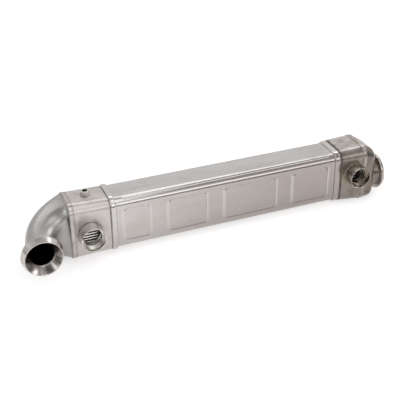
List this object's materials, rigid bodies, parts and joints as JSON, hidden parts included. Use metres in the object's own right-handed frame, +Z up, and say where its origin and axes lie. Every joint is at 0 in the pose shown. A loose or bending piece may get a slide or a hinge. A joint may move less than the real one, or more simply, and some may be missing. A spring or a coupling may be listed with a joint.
{
  "type": "egr cooler",
  "caption": "Long shell-and-tube gas cooler of rounded-box section, with a formed elbow, clamp-ring gas ends and coolant ports on one long side.",
  "frame": {"origin": "under the middle of the whole cooler, on the surface it rests on", "axes": "+X along the core from the gas inlet elbow to the gas outlet, -Y to the side with the coolant ports, +Z up to the vent"},
  "size_m": [0.78, 0.1416, 0.1323],
  "materials": {
    "shell_steel": "pickled stainless sheet, satin",
    "formed_steel": "formed stainless, satin",
    "tinted_steel": "formed stainless with faint heat tint",
    "rim_steel": "blanked stainless plate edge, bright",
    "turned_steel": "turned stainless, bright",
    "tube_steel": "brazed thin stainless, satin"
  },
  "bodies": {
    "root": {"inlet_flange": "turned_steel", "inlet_elbow": "formed_steel", "inlet_tube_sheet": "rim_steel", "inlet_tank": "formed_steel", "inlet_coolant_port": "turned_steel", "vent_fitting": "turned_steel", "shell": "shell_steel", "outlet_tank": "tinted_steel", "outlet_tube_sheet": "rim_steel", "outlet_coolant_port": "turned_steel", "outlet_cap": "formed_steel", "outlet_flange": "turned_steel", "gas_tube_01": "tube_steel", "turbulator_01": "tube_steel", "gas_tube_02": "tube_steel", "turbulator_02": "tube_steel", "gas_tube_03": "tube_steel", "turbulator_03": "tube_steel", "gas_tube_04": "tube_steel", "turbulator_04": "tube_steel", "gas_tube_05": "tube_steel", "turbulator_05": "tube_steel", "gas_tube_06": "tube_steel", "turbulator_06": "tube_steel", "gas_tube_07": "tube_steel", "turbulator_07": "tube_steel", "gas_tube_08": "tube_steel", "turbulator_08": "tube_steel", "gas_tube_09": "tube_steel", "turbulator_09": "tube_steel", "gas_tube_10": "tube_steel", "turbulator_10": "tube_steel", "gas_tube_11": "tube_steel", "turbulator_11": "tube_steel", "gas_tube_12": "tube_steel", "turbulator_12": "tube_steel", "gas_tube_13": "tube_steel", "turbulator_13": "tube_steel", "gas_tube_14": "tube_steel", "turbulator_14": "tube_steel", "gas_tube_15": "tube_steel", "turbulator_15": "tube_steel", "gas_tube_16": "tube_steel", "turbulator_16": "tube_steel", "support_comb_1": "tube_steel", "support_comb_2": "tube_steel", "support_comb_3": "tube_steel"}
  },
  "joints": []
}
